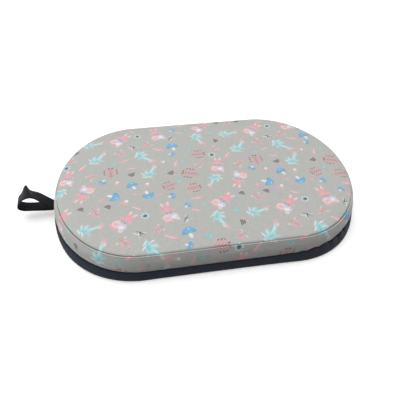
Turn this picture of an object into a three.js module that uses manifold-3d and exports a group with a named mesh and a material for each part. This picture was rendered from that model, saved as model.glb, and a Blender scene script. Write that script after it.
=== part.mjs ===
// A garden kneeling pad: a boxed foam cushion with long rounded corners, in a sewn cloth cover.
//
// The cover has a crowned top panel, an upright side band and a dark base panel that turns up round the
// lower edge. It holds a soft comfort foam on a firm support foam. The back long side opens with a coil
// zip, and a webbing hanging loop is sewn into the base seam at the left end.
//
// Frame: millimetres, +X along the pad away from the loop, +Y towards the zip side, +Z up. The origin is
// the middle of the flat underside.
import * as THREE from "three";
import { mergeVertices } from "three/addons/utils/BufferGeometryUtils.js";
import Module from "manifold-3d";

const wasm = await Module();
wasm.setup();

// Overall size
const PAD_LENGTH = 450;
const PAD_WIDTH = 293;
const PAD_HEIGHT = 46;
const CORNER = { x: 124, y: 144 }; // half-axes of the rounded corners
const SEAM_HEIGHT = 43; // where the top panel meets the side band
const RIM_HEIGHT = 14; // where the side band meets the turned-up base panel
const CROWN_DROP = 2; // how far the top panel falls off towards its edge
const CROWN_RUN = 22; // and over what distance
const END_LEAN = 6.7; // how far the ends lean in between the rim and the top seam
const SIDE_LEAN = 1.5; // the same for the long sides

// Cloth, foam and clearances
const CLOTH = 1.5;
const GAP = 0.3; // between pieces that touch on the real pad
const BASE_EDGE_RADIUS = 5;
const BAND_INSET = 2;
const THREAD_INSET = 4.2;
const FOAM_INSET = 5.2;
const FOAM_SPLIT = 26; // top of the support foam
const THREAD = 0.6;
const BASE_STITCH_RISE = 2.6; // from the rim up to the thread of the base seam
const CORNER_STEPS = 12;
const ROLL_STEPS = 3;

// Zip, on the straight stretch of the back side
const ZIP_HALF_LENGTH = 95;
const ZIP_HEIGHT = 20.3; // where the two coils meet
const ZIP_TOP = 26; // upper edge of the upper tape
const COIL_HALF_LENGTH = 92;
const COIL_WIDTH = 2.8;
const COIL_THICKNESS = 2;
const TAPE_THICKNESS = 0.6;
const TAPE_INSET = 3.2;
const SLIDER_LENGTH = 11;
const SLIDER_WALL = 1.3;
const SLIDER_PLAY = 0.1; // beyond GAP, in front of and behind the coils
const SLIDER_HALF_OPENING = 3.3; // the channel's half height inside
const SLIDER_REST = 86; // closed end of its travel
const BRIDGE = { length: 7, width: 1.6, bar: 0.9, clear: 1.6, foot: 0.8 };
const PULL = { pin: 0.5, arm: 1, armReach: 5, halfWidth: 2.4, length: 22, thickness: 1, hole: 1.2, margin: 3 };
const STOP_LENGTH = 2;

// Hanging loop, at the left end
const WEBBING_WIDTH = 20;
const WEBBING = 1.3;
const LOOP_HINGE = { x: -PAD_LENGTH / 2 - 2.5, z: RIM_HEIGHT + GAP };
const LOOP_STEPS = 40;
const TAIL_STUB = 0.7; // how far the sewn-in ends stand out of the seam
const TAIL_DEPTH = 12;

const cloth = (name, color) => new THREE.MeshStandardMaterial({ name, color, roughness: 0.85, metalness: 0 });
const MATERIALS = {
  print: cloth("print", 0xb4b3ac),
  charcoal: cloth("charcoal", 0x2b2e36),
  webbing: cloth("webbing", 0x1d2026),
  comfortFoam: cloth("comfort_foam", 0xe9e2cf),
  supportFoam: cloth("support_foam", 0x4b4d52),
  greyThread: cloth("grey_thread", 0xa9a8a2),
  blackThread: cloth("black_thread", 0x191b1f),
  coil: new THREE.MeshStandardMaterial({ name: "coil", color: 0x202226, roughness: 0.45, metalness: 0 }),
  zipMetal: new THREE.MeshStandardMaterial({ name: "zip_metal", color: 0x3a3c40, roughness: 0.35, metalness: 0.9 }),
};

// ---- solids -------------------------------------------------------------------------------------

function solidOf(geometry) {
  const bare = geometry.clone();
  bare.deleteAttribute("normal");
  bare.deleteAttribute("uv");
  const merged = mergeVertices(bare, 1e-4);
  return new wasm.Manifold(
    new wasm.Mesh({
      numProp: 3,
      vertProperties: new Float32Array(merged.attributes.position.array),
      triVerts: new Uint32Array(merged.index.array),
    }),
  );
}

function geometryOf(solid) {
  const mesh = solid.getMesh();
  const geometry = new THREE.BufferGeometry();
  geometry.setAttribute("position", new THREE.BufferAttribute(mesh.vertProperties, 3));
  geometry.setIndex(new THREE.BufferAttribute(mesh.triVerts, 1));
  geometry.computeVertexNormals();
  return geometry;
}

// A box between two corners, as a geometry.
function block(low, high) {
  const size = high.map((v, i) => v - low[i]);
  const middle = high.map((v, i) => (v + low[i]) / 2);
  return new THREE.BoxGeometry(...size).translate(...middle);
}

const blockSolid = (low, high) => solidOf(block(low, high));

// The pad's outline seen from above, moved inwards by inset.
function padOutline(inset) {
  const x = PAD_LENGTH / 2 - CORNER.x;
  const y = PAD_WIDTH / 2 - CORNER.y;
  const axes = [CORNER.x - inset, CORNER.y - inset];
  const corners = [[x, y], [-x, y], [-x, -y], [x, -y]];
  const outline = new THREE.Shape();
  corners.forEach(([cx, cy], i) => outline.absellipse(cx, cy, ...axes, (i * Math.PI) / 2, ((i + 1) * Math.PI) / 2));
  outline.closePath();
  return outline;
}

// A flat slab of the pad's outline.
function slab(inset, low, high) {
  const options = { depth: high - low, bevelEnabled: false, curveSegments: CORNER_STEPS };
  return solidOf(new THREE.ExtrudeGeometry(padOutline(inset), options).translate(0, 0, low));
}

// A slab whose upper and lower edges both roll in by run, over a height of drop.
function rolledSlab(inset, low, high, drop, run) {
  const geometry = new THREE.ExtrudeGeometry(padOutline(inset), {
    depth: high - low - 2 * drop,
    bevelThickness: drop,
    bevelSize: run,
    bevelOffset: -run,
    bevelSegments: ROLL_STEPS,
    curveSegments: CORNER_STEPS,
  });
  return solidOf(geometry.translate(0, 0, low + drop));
}

// A slab with a crowned top and a square lower edge.
function crownedSlab(inset, low, high) {
  const both = rolledSlab(inset, low - CROWN_DROP, high, CROWN_DROP, CROWN_RUN);
  return both.intersect(slab(inset - 1, low, high + 1));
}

// An upright band of the pad's outline.
const ring = (inset, thickness, low, high) =>
  slab(inset, low, high).subtract(slab(inset + thickness, low - 1, high + 1));

// The same solid with its sides leaning in above the rim, more at the ends than along the sides.
function leanIn(solid) {
  const geometry = geometryOf(solid);
  const { position } = geometry.attributes;
  for (let i = 0; i < position.count; i += 1) {
    const share = (position.getZ(i) - RIM_HEIGHT) / (SEAM_HEIGHT - RIM_HEIGHT);
    const lean = 2 * Math.min(1, Math.max(0, share));
    position.setX(i, position.getX(i) * (1 - (END_LEAN * lean) / PAD_LENGTH));
    position.setY(i, position.getY(i) * (1 - (SIDE_LEAN * lean) / PAD_WIDTH));
  }
  return solidOf(geometry);
}

// The y of a face on the back side, at that inset.
const backFace = (inset) => PAD_WIDTH / 2 - inset;

// A bar along the zip, between two heights and two insets.
const zipBar = (from, to, outer, inner, low, high) =>
  block([from, backFace(inner), low], [to, backFace(outer), high]);

// ---- cushion ------------------------------------------------------------------------------------

const tailHalfHeight = WEBBING + GAP / 2;
const tailLow = LOOP_HINGE.z - tailHalfHeight;
const tailHigh = LOOP_HINGE.z + tailHalfHeight;

// The slot that the sewn-in webbing takes through the base seam.
function tailSlot() {
  const side = WEBBING_WIDTH / 2 + GAP;
  return blockSolid(
    [-PAD_LENGTH / 2 - 5, -side, tailLow - GAP],
    [-PAD_LENGTH / 2 + TAIL_DEPTH + GAP, side, tailHigh + GAP],
  );
}

function topPanel() {
  const outside = crownedSlab(BAND_INSET, SEAM_HEIGHT, PAD_HEIGHT);
  const inside = rolledSlab(BAND_INSET - 1, 0, PAD_HEIGHT - CLOTH, CROWN_DROP, CROWN_RUN);
  return leanIn(outside.subtract(inside));
}

const bandHoop = () => leanIn(ring(BAND_INSET, CLOTH, RIM_HEIGHT + GAP, SEAM_HEIGHT - GAP));

function sideBand() {
  const half = ZIP_HALF_LENGTH + GAP;
  return bandHoop()
    .subtract(blockSolid([-half, 0, 0], [half, PAD_WIDTH, PAD_HEIGHT]))
    .subtract(tailSlot());
}

function rearBand() {
  const window = blockSolid([-ZIP_HALF_LENGTH, 0, ZIP_TOP + GAP], [ZIP_HALF_LENGTH, PAD_WIDTH, PAD_HEIGHT]);
  return bandHoop().intersect(window);
}

function basePanel() {
  const twice = 2 * RIM_HEIGHT;
  const outside = rolledSlab(0, 0, twice, BASE_EDGE_RADIUS, BASE_EDGE_RADIUS);
  const inside = rolledSlab(CLOTH, CLOTH, twice + CLOTH, BASE_EDGE_RADIUS, BASE_EDGE_RADIUS);
  return outside
    .subtract(inside)
    .intersect(slab(-1, 0, RIM_HEIGHT))
    .subtract(tailSlot());
}

function supportFoam() {
  const edge = BASE_EDGE_RADIUS;
  const sheet = rolledSlab(FOAM_INSET, CLOTH + GAP, 2 * FOAM_SPLIT, edge, edge);
  return leanIn(sheet.intersect(slab(FOAM_INSET - 1, 0, FOAM_SPLIT))).subtract(tailSlot());
}

const comfortFoam = () => leanIn(crownedSlab(FOAM_INSET, FOAM_SPLIT + GAP, PAD_HEIGHT - CLOTH - GAP));

// The lockstitch inside a seam, just below or above it.
const seamThread = (low) => leanIn(ring(THREAD_INSET, THREAD, low, low + THREAD));

function addCushion(add) {
  add("top_panel", topPanel(), MATERIALS.print);
  add("side_band", sideBand(), MATERIALS.print);
  add("rear_band", rearBand(), MATERIALS.print);
  add("base_panel", basePanel(), MATERIALS.charcoal);
  add("comfort_foam", comfortFoam(), MATERIALS.comfortFoam);
  add("support_foam", supportFoam(), MATERIALS.supportFoam);
  add("top_seam_thread", seamThread(SEAM_HEIGHT - 2 * THREAD), MATERIALS.greyThread);
  add("base_seam_thread", seamThread(RIM_HEIGHT + BASE_STITCH_RISE), MATERIALS.blackThread);
}

// ---- zip ----------------------------------------------------------------------------------------

const tapeInner = TAPE_INSET + TAPE_THICKNESS;
const coilInner = TAPE_INSET - GAP;
const coilOuter = coilInner - COIL_THICKNESS;
const plateInner = coilOuter - GAP - SLIDER_PLAY;
const channelInner = coilInner - SLIDER_PLAY;
const plateOuter = plateInner - SLIDER_WALL;

function addZipChain(add) {
  const half = GAP / 2;
  const tapes = {
    zip_tape_lower: [RIM_HEIGHT + GAP, ZIP_HEIGHT - half],
    zip_tape_upper: [ZIP_HEIGHT + half, ZIP_TOP],
  };
  for (const [name, [low, high]] of Object.entries(tapes)) {
    add(name, zipBar(-ZIP_HALF_LENGTH, ZIP_HALF_LENGTH, TAPE_INSET, tapeInner, low, high), MATERIALS.charcoal);
  }
  const coils = {
    zip_coil_lower: [ZIP_HEIGHT - half - COIL_WIDTH, ZIP_HEIGHT - half],
    zip_coil_upper: [ZIP_HEIGHT + half, ZIP_HEIGHT + half + COIL_WIDTH],
  };
  for (const [name, [low, high]] of Object.entries(coils)) {
    add(name, zipBar(-COIL_HALF_LENGTH, COIL_HALF_LENGTH, coilOuter, coilInner, low, high), MATERIALS.coil);
  }
  const stops = { zip_closed_stop: 1, zip_open_stop: -1 };
  for (const [name, end] of Object.entries(stops)) {
    const near = end * (COIL_HALF_LENGTH + GAP);
    const far = end * (COIL_HALF_LENGTH + GAP + STOP_LENGTH);
    const [from, to] = [near, far].sort((a, b) => a - b);
    const stop = zipBar(from, to, coilOuter, coilInner, ZIP_HEIGHT - COIL_WIDTH, ZIP_HEIGHT + COIL_WIDTH);
    add(name, stop, MATERIALS.zipMetal);
  }
}

// A channel over the two coils, with a bridge on its face for the pull.
function sliderBody() {
  const from = SLIDER_REST - SLIDER_LENGTH / 2;
  const to = SLIDER_REST + SLIDER_LENGTH / 2;
  const inside = SLIDER_HALF_OPENING;
  const outside = inside + SLIDER_WALL;
  const body = zipBar(from, to, plateOuter, channelInner, ZIP_HEIGHT - outside, ZIP_HEIGHT + outside);
  const room = zipBar(from - 1, to + 1, plateInner, TAPE_INSET, ZIP_HEIGHT - inside, ZIP_HEIGHT + inside);
  const channel = solidOf(body).subtract(solidOf(room));
  const start = SLIDER_REST - BRIDGE.length / 2;
  const end = SLIDER_REST + BRIDGE.length / 2;
  const low = ZIP_HEIGHT - BRIDGE.width / 2;
  const high = ZIP_HEIGHT + BRIDGE.width / 2;
  const under = plateOuter - BRIDGE.clear;
  const arch = solidOf(zipBar(start, end, under - BRIDGE.bar, plateOuter + 0.2, low, high));
  const opening = zipBar(start + BRIDGE.foot, end - BRIDGE.foot, under, plateOuter, low - 1, high + 1);
  return channel.add(arch.subtract(solidOf(opening)));
}

const pullAxisInset = plateOuter - BRIDGE.clear / 2;

// A flat tab on two arms, whose pin runs under the slider's bridge.
function pullTab() {
  const y = backFace(pullAxisInset);
  const half = PULL.thickness / 2;
  const pin = new THREE.CylinderGeometry(PULL.pin, PULL.pin, 2 * PULL.halfWidth, 12)
    .rotateX(Math.PI / 2)
    .translate(SLIDER_REST, y, ZIP_HEIGHT);
  const plate = (near, far, low, high) =>
    blockSolid([SLIDER_REST - far, y - half, ZIP_HEIGHT + low], [SLIDER_REST - near, y + half, ZIP_HEIGHT + high]);
  const { arm, armReach, halfWidth, length, margin } = PULL;
  const hole = new THREE.CylinderGeometry(PULL.hole, PULL.hole, 4 * PULL.thickness, 16)
    .translate(SLIDER_REST - length + margin, y, ZIP_HEIGHT);
  return solidOf(pin)
    .add(plate(0, armReach, halfWidth - arm, halfWidth))
    .add(plate(0, armReach, -halfWidth, arm - halfWidth))
    .add(plate(armReach - 0.5, length, -halfWidth, halfWidth))
    .subtract(solidOf(hole));
}

// ---- hanging loop -------------------------------------------------------------------------------

// The middle line of the webbing seen from the front: out along the bottom, round, and back over a crest.
function loopLine() {
  const { x, z } = LOOP_HINGE;
  const start = x - 0.5;
  const layer = WEBBING / 2 + GAP / 2;
  const line = new THREE.Path();
  line.moveTo(start, z - layer);
  line.lineTo(start - 24, z - layer);
  line.bezierCurveTo(x - 42, z - 1, x - 47, z + 10, x - 40, z + 18);
  line.bezierCurveTo(x - 32, z + 28, x - 26, z + 31, x - 20, z + 21);
  line.bezierCurveTo(x - 14, z + 12, x - 9, z + 2, start, z + layer);
  return line;
}

function hangingLoop() {
  const line = loopLine();
  const side = (sign) =>
    Array.from({ length: LOOP_STEPS + 1 }, (_, i) => {
      const t = i / LOOP_STEPS;
      const along = line.getTangent(t);
      const point = line.getPoint(t);
      return new THREE.Vector2(point.x - (sign * along.y * WEBBING) / 2, point.y + (sign * along.x * WEBBING) / 2);
    });
  const outline = new THREE.Shape([...side(1), ...side(-1).reverse()]);
  const strip = new THREE.ExtrudeGeometry(outline, { depth: WEBBING_WIDTH, bevelEnabled: false });
  return strip.rotateX(Math.PI / 2).translate(0, WEBBING_WIDTH / 2, 0);
}

// The two ends of the webbing, flat together inside the seam.
function loopTails() {
  const half = WEBBING_WIDTH / 2;
  const wall = -PAD_LENGTH / 2;
  return block([wall - TAIL_STUB, -half, tailLow], [wall + TAIL_DEPTH, half, tailHigh]);
}

// ---- assembly -----------------------------------------------------------------------------------

const kneelingPad = new THREE.Group();
kneelingPad.name = "kneeling_pad";

function addTo(group) {
  return (name, shape, material) => {
    const geometry = shape instanceof THREE.BufferGeometry ? shape : geometryOf(shape);
    const mesh = new THREE.Mesh(geometry, material);
    mesh.name = name;
    group.add(mesh);
  };
}

const add = addTo(kneelingPad);
addCushion(add);
addZipChain(add);
add("zip_slider", sliderBody(), MATERIALS.zipMetal);
add("zip_pull", pullTab(), MATERIALS.zipMetal);
add("loop_tails", loopTails(), MATERIALS.webbing);
add("hanging_loop", hangingLoop(), MATERIALS.webbing);

export default kneelingPad;
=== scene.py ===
"""A garden kneeling pad on a pale studio floor.

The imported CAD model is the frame. Each soft part is made here as a cloth panel, a foam sheet or a strip of
webbing in the space that its CAD solid holds. Lengths are in millimetres until a mesh is stored, in metres.
"""

import math
import random

import bmesh
import bpy
import numpy as np
from mathutils import Matrix, Vector
from mathutils.geometry import delaunay_2d_cdt
from mathutils.kdtree import KDTree


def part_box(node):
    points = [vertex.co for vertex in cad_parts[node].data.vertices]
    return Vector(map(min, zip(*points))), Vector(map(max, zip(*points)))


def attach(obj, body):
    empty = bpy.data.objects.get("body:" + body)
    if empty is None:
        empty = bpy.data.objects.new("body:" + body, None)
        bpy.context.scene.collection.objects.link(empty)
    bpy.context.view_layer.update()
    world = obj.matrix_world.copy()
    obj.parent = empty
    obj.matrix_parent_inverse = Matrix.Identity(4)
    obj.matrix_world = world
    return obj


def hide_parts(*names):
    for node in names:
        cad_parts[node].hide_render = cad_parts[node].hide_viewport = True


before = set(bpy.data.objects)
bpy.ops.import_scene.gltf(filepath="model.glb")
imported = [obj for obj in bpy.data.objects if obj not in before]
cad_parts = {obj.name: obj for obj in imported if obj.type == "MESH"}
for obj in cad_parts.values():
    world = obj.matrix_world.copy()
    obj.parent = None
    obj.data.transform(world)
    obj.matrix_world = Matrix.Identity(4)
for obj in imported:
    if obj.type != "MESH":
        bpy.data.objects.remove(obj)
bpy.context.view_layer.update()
scene = bpy.context.scene

MM = 0.001


def box_mm(node):
    """A CAD node's lowest and highest corner, in millimetres."""
    low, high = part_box(node)
    return Vector(low) / MM, Vector(high) / MM


def add_object(name, data):
    made = bpy.data.objects.new(name, data)
    scene.collection.objects.link(made)
    return made


# ---- material nodes ----


def linear(*screen):
    """A colour given as 0 to 255 on screen, as the shader's linear numbers."""
    return tuple(c / 255 / 12.92 if c < 10 else ((c / 255 + 0.055) / 1.055) ** 2.4 for c in screen) + (1,)


class Nodes:
    """Adds nodes to a tree. Its methods take numbers or sockets and return a socket."""

    def __init__(self, tree):
        self.tree = tree

    def node(self, kind, inputs, **settings):
        made = self.tree.nodes.new(kind)
        for key, value in settings.items():
            setattr(made, key, value)
        for key, value in inputs.items():
            if isinstance(value, bpy.types.NodeSocket):
                self.tree.links.new(value, made.inputs[key])
            else:
                made.inputs[key].default_value = value
        return made

    def math(self, operation, *values, clamp=False):
        made = self.node("ShaderNodeMath", dict(enumerate(values)), operation=operation, use_clamp=clamp)
        return made.outputs[0]

    def times(self, a, b):
        return self.math("MULTIPLY", a, b)

    def vector(self, operation, *values):
        made = self.node("ShaderNodeVectorMath", dict(enumerate(values)), operation=operation)
        return made.outputs["Value" if operation in ("LENGTH", "DOT_PRODUCT") else "Vector"]

    def split(self, vector):
        return self.node("ShaderNodeSeparateXYZ", {0: vector}).outputs

    def ramp(self, value, start, end):
        """Maps the value's stretch from start[0] to end[0] onto start[1] to end[1]."""
        inputs = dict(zip(("Value", "From Min", "To Min", "From Max", "To Max"), (value, *start, *end)))
        return self.node("ShaderNodeMapRange", inputs).outputs[0]


class Paint(Nodes):
    """The nodes of one material."""

    def __init__(self, name, roughness):
        self.material = bpy.data.materials.new(name)
        self.material.use_nodes = True
        super().__init__(self.material.node_tree)
        self.shader = self.tree.nodes["Principled BSDF"]
        self.shader.inputs["Roughness"].default_value = roughness
        self.relief = None

    def mix(self, amount, a, b):
        return self.node("ShaderNodeMix", {0: amount, 6: a, 7: b}, data_type="RGBA").outputs[2]

    def join(self, x, y):
        return self.node("ShaderNodeCombineXYZ", {0: x, 1: y}).outputs[0]

    def attribute(self, name):
        return self.node("ShaderNodeAttribute", {}, attribute_name=name).outputs["Vector"]

    def place(self):
        """The place on the object, in metres."""
        return self.node("ShaderNodeTexCoord", {}).outputs["Object"]

    def wave(self, value, pitch):
        return self.math("SINE", self.times(value, math.tau / pitch))

    def half(self, value):
        """-1 to 1, as 0 to 1."""
        return self.math("MULTIPLY_ADD", value, 0.5, 0.5)

    def noise(self, vector, scale, detail=2):
        inputs = {"Vector": vector, "Scale": scale, "Detail": detail}
        return self.node("ShaderNodeTexNoise", inputs).outputs[0]

    def threshold(self, value, low, high):
        """0 below low and 1 above high; low may be the larger."""
        slope = 1 / (high - low)
        return self.math("MULTIPLY_ADD", value, slope, -low * slope, clamp=True)

    def emboss(self, height, distance, strength):
        """Adds relief, on top of any that is there."""
        inputs = {"Height": height, "Distance": distance * MM, "Strength": strength}
        if self.relief:
            inputs["Normal"] = self.relief
        self.relief = self.node("ShaderNodeBump", inputs).outputs[0]
        self.link("Normal", self.relief)

    def tint(self, share, first, second):
        """Colours it from the first to the second, each 0 to 255 on screen."""
        self.link("Base Color", self.mix(share, linear(*first), linear(*second)))

    def link(self, name, socket):
        self.tree.links.new(socket, self.shader.inputs[name])

    def set(self, **values):
        for name, value in values.items():
            self.shader.inputs[name.replace("_", " ")].default_value = value


# ---- camera and light ----

CAMERA = {"elevation": 42.7, "yaw": 10.2, "distance": 642.0, "across": -7.5, "up": -5.7, "roll": -1.0}
FOCAL_PIXELS = 409.4
FRAME_PIXELS = 400
SENSOR = 36
ROOM_LIGHT = 0.3
BOUNCE_LIGHT = 0.22
DIM_SIDE = (0.17, -0.95, -0.26)  # the room is darkest in front of the pad, a little to the right
DIM_SHARE = 0.25
PAPER_GLOW = 0.35
FLOOR_REACH = 6
BACKDROP_RADIUS = 5.8
BACKDROP_HEIGHT = 4.0


def add_camera():
    """The camera looks down along the pad's width, from in front and a little to the left."""
    tilt = math.radians(CAMERA["elevation"])
    forward = Vector((0, math.cos(tilt), -math.sin(tilt)))
    up = Vector((0, math.sin(tilt), math.cos(tilt)))
    right = Vector((1, 0, 0))
    place = CAMERA["across"] * right + CAMERA["up"] * up - CAMERA["distance"] * forward
    turn = Matrix.Rotation(math.radians(-CAMERA["yaw"]), 4, "Z")
    roll = Matrix.Rotation(math.radians(-CAMERA["roll"]), 4, "Z")
    axes = Matrix((right, up, -forward)).transposed().to_4x4()
    data = bpy.data.cameras.new("camera")
    data.sensor_width = SENSOR
    data.lens = FOCAL_PIXELS / FRAME_PIXELS * SENSOR
    data.clip_start = 0.01
    camera = add_object("camera", data)
    camera.matrix_world = turn @ Matrix.Translation(place * MM) @ axes @ roll
    scene.camera = camera


def add_light(name, place, size, power):
    """A square lamp that faces the pad."""
    data = bpy.data.lights.new(name, "AREA")
    data.shape = "RECTANGLE"
    data.size = size
    data.size_y = size
    data.energy = power
    light = add_object(name, data)
    light.location = place
    light.rotation_euler = (-Vector(place)).to_track_quat("-Z", "Y").to_euler()


def add_world():
    """A soft room: bright above, dimmer below, where light would come back off the floor."""
    world = bpy.data.worlds.new("studio")
    world.use_nodes = True
    room = Nodes(world.node_tree)
    direction = room.node("ShaderNodeTexCoord", {}).outputs["Generated"]
    glow = room.ramp(room.split(direction)["Z"], (-0.15, BOUNCE_LIGHT), (0.35, ROOM_LIGHT))
    shade = room.ramp(room.vector("DOT_PRODUCT", direction, DIM_SIDE), (0.1, 1.0), (0.9, DIM_SHARE))
    background = room.tree.nodes["Background"]
    background.inputs["Color"].default_value = (1, 1, 1, 1)
    room.tree.links.new(room.times(glow, shade), background.inputs["Strength"])
    scene.world = world


def add_stage(name, points, faces, unseen, paint):
    """A sheet of the studio, which the kinds of light in unseen pass by."""
    data = bpy.data.meshes.new(name)
    data.from_pydata(points, [], faces)
    data.materials.append(paint.material)
    sheet = add_object(name, data)
    for kind in unseen:
        setattr(sheet, "visible_" + kind, False)


def add_floor():
    """A pale sheet of paper. It takes shadows, and the world's lower half gives its share of soft light."""
    corners = [(x * FLOOR_REACH, y * FLOOR_REACH, -0.0004) for x, y in ((-1, -1), (1, -1), (1, 1), (-1, 1))]
    paper = Paint("studio_paper", 0.9)
    paper.set(Base_Color=(0.95, 0.95, 0.95, 1), Emission_Color=(1, 1, 1, 1), Emission_Strength=PAPER_GLOW)
    add_stage("floor", corners, [(0, 1, 2, 3)], ["diffuse"], paper)


def add_backdrop():
    """A pale wall round the floor. It only fills the view: the light comes from the lamps and the world."""
    sides = 64
    turns = [k * math.tau / sides for k in range(sides)]
    circle = [(BACKDROP_RADIUS * math.cos(turn), BACKDROP_RADIUS * math.sin(turn)) for turn in turns]
    points = [(x, y, z) for z in (-0.01, BACKDROP_HEIGHT) for x, y in circle]
    faces = [(k, (k + 1) % sides, sides + (k + 1) % sides, sides + k) for k in range(sides)]
    pale = Paint("studio_wall", 0.5)
    pale.set(Emission_Color=(1, 1, 1, 1), Emission_Strength=0.85)
    add_stage("backdrop", points, faces, ["diffuse", "glossy", "shadow", "transmission"], pale)


def add_studio():
    add_light("overhead", (-0.25, 0.45, 1.6), 1.8, 21)
    add_light("left_fill", (-1.35, -0.75, 0.55), 0.8, 11.5)
    add_light("right_fill", (1.35, -0.35, 0.5), 0.8, 7.5)
    add_world()
    add_floor()
    add_backdrop()
    scene.view_settings.view_transform = "Standard"


add_camera()
add_studio()

# ---- the print: garden motifs scattered over a repeat ----

REPEAT = (222.0, 188.0)
PRINT_SCALE = 1.3
PAGE = 100.0  # each motif is drawn at its own place along a page, this far from the last
BLANK = -1000.0
EDGE = 0.55  # softness of a printed edge

INK = {
    "pink": (234, 178, 184),
    "rose": (234, 166, 175),
    "coral": (204, 128, 132),
    "blush": (238, 208, 208),
    "lilac": (214, 202, 222),
    "violet": (146, 138, 178),
    "white": (234, 236, 236),
    "aqua": (166, 216, 220),
    "teal": (146, 202, 205),
    "sky": (122, 184, 218),
    "blue": (100, 164, 210),
    "slate": (96, 122, 140),
    "stone": (168, 162, 156),
    "brown": (92, 86, 84),
    "ink": (62, 58, 66),
}
INK = {name: linear(*screen) for name, screen in INK.items()}


class PrintPaint(Paint):
    """Draws the motifs from soft-edged ellipses."""

    def start(self, kind):
        """Puts the pen on that motif's place on the page."""
        self.pen = self.vector("SUBTRACT", self.page, (PAGE * kind, 0, 0))

    def shape(self, centre, radii, turn=0, pen=None):
        """1 inside an ellipse, 0 outside. turn is in degrees."""
        at = self.pen if pen is None else pen
        if centre != (0, 0):
            at = self.vector("SUBTRACT", at, (*centre, 0))
        if turn:
            inputs = {"Vector": at, "Angle": -math.radians(turn)}
            at = self.node("ShaderNodeVectorRotate", inputs, rotation_type="Z_AXIS").outputs[0]
        at = self.vector("MULTIPLY", at, (1 / radii[0], 1 / radii[1], 0))
        soft = EDGE / min(radii) / 2
        return self.threshold(self.vector("LENGTH", at), 1 + soft, 1 - soft)

    def ink(self, mask, colour):
        self.colour = self.mix(self.times(mask, self.cover), self.colour, INK[colour])

    def dab(self, colour, centre, radii, turn=0, pen=None):
        self.ink(self.shape(centre, radii, turn, pen), colour)

    def dabs(self, pen, *strokes):
        for stroke in strokes:
            self.dab(*stroke, pen=pen)

    def fold(self):
        """The pen's place with its left half folded onto the right."""
        x, y, _ = self.split(self.pen)
        return self.join(self.math("ABSOLUTE", x), y)

    def bend(self, at, amount):
        """The place at, with its Y axis bent to a parabola."""
        x, y, _ = self.split(at)
        return self.join(self.math("MULTIPLY_ADD", self.times(y, y), amount, x), y)

    def spokes(self, count):
        """The pen's place folded onto one of count spokes, which lies along X."""
        x, y, _ = self.split(self.pen)
        sector = math.tau / count
        angle = self.math("ARCTAN2", y, x)
        angle = self.math("WRAP", angle, sector / 2, -sector / 2)
        radius = self.vector("LENGTH", self.join(x, y))
        return self.join(
            self.times(radius, self.math("COSINE", angle)),
            self.times(radius, self.math("SINE", angle)),
        )


def draw_posy(paint):
    """A tied bunch: two pale blooms, a violet tie, and a pink wrap with stalks below."""
    folded = paint.fold()
    paint.dab("blush", (2.7, -10.4), (1.5, 3.9), 18, folded)
    paint.dab("pink", (4.8, -1.8), (3.2, 1.5), 26, folded)
    paint.dabs(
        paint.pen,
        ("rose", (0, -4.8), (4.2, 5.2)),
        ("pink", (0.8, -3.2), (2.1, 2.4)),
        ("pink", (5.4, 11.2), (2.4, 3.4), -40),
        ("blush", (-5.2, 11.2), (2.4, 3.4), 40),
        ("pink", (0.6, 12.0), (2.2, 2.6)),
        ("blush", (3.2, 7.4), (4.9, 4.6)),
        ("lilac", (-3.0, 7.2), (5.0, 4.6)),
        ("white", (-3.2, 8.2), (2.9, 2.2), 30),
        ("pink", (3.9, 8.4), (2.2, 1.7)),
        ("violet", (0, 2.0), (2.9, 1.1)),
        ("white", (0.2, 2.0), (1.1, 0.5)),
    )


def draw_plume(paint):
    """A feathery aqua leaf that curls to a pink tip, with pale ribs along its outer edge."""
    bent = paint.bend(paint.pen, 0.028)
    paint.dabs(
        bent,
        ("pink", (1.0, 12.0), (2.4, 3.9), -24),
        ("blush", (2.6, 10.4), (1.2, 2.8), -30),
        ("aqua", (0, 2.5), (2.2, 9.4), 2),
        ("aqua", (0.8, -4.8), (4.0, 6.6), 0),
        ("aqua", (-4.6, -0.6), (0.9, 3.4), 48),
        ("aqua", (-4.9, -4.4), (0.9, 3.2), 62),
        ("white", (-4.9, -7.4), (0.7, 3.0), 76),
        ("white", (-4.8, -2.6), (0.6, 3.0), 55),
        ("aqua", (5.2, -1.4), (1.0, 3.6), -44),
        ("white", (5.4, -7.6), (0.7, 2.8), -76),
        ("teal", (1.4, -5.0), (1.7, 3.0), -14),
        ("white", (-0.7, 4.0), (0.6, 4.6), -4),
        ("white", (2.6, -11.0), (3.0, 0.8), 24),
    )


def draw_sprig(paint):
    """A bough of fine coral stalks in pairs, with dark seeds at their tips."""
    folded = paint.fold()
    x, y, _ = paint.split(folded)
    lean = paint.math("MULTIPLY_ADD", x, -0.75, y)
    rung = paint.math("WRAP", lean, 1.7, -1.7)
    ladder = paint.join(x, rung)
    room = paint.shape((0, 1.0), (8.0, 9.0), 0, folded)
    stalk = paint.times(paint.shape((3.0, 0), (3.5, 0.5), 0, ladder), room)
    paint.ink(stalk, "coral")
    paint.dab("coral", (0, -1.5), (0.65, 8.4))
    leaf = paint.times(paint.shape((4.4, 0.7), (1.9, 0.75), 20, ladder), room)
    paint.ink(leaf, "rose")
    seed = paint.times(paint.shape((6.9, -0.3), (0.95, 0.8), 0, ladder), room)
    paint.ink(seed, "ink")
    paint.dab("ink", (1.8, 7.6), (0.9, 0.9), 0, folded)


def draw_mushroom(paint):
    """A blue cap, paler at its crown, on a white stem."""
    paint.dab("white", (0, -4.2), (1.6, 3.2))
    cap = paint.shape((0, -2.0), (6.4, 7.4))
    cap = paint.times(cap, paint.threshold(paint.split(paint.pen)[1], -2.3, -1.7))
    paint.ink(cap, "blue")
    upper = paint.times(cap, paint.shape((0.4, 2.0), (5.0, 3.6)))
    paint.ink(upper, "sky")
    paint.dab("white", (0.8, 3.2), (0.8, 0.6))


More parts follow.
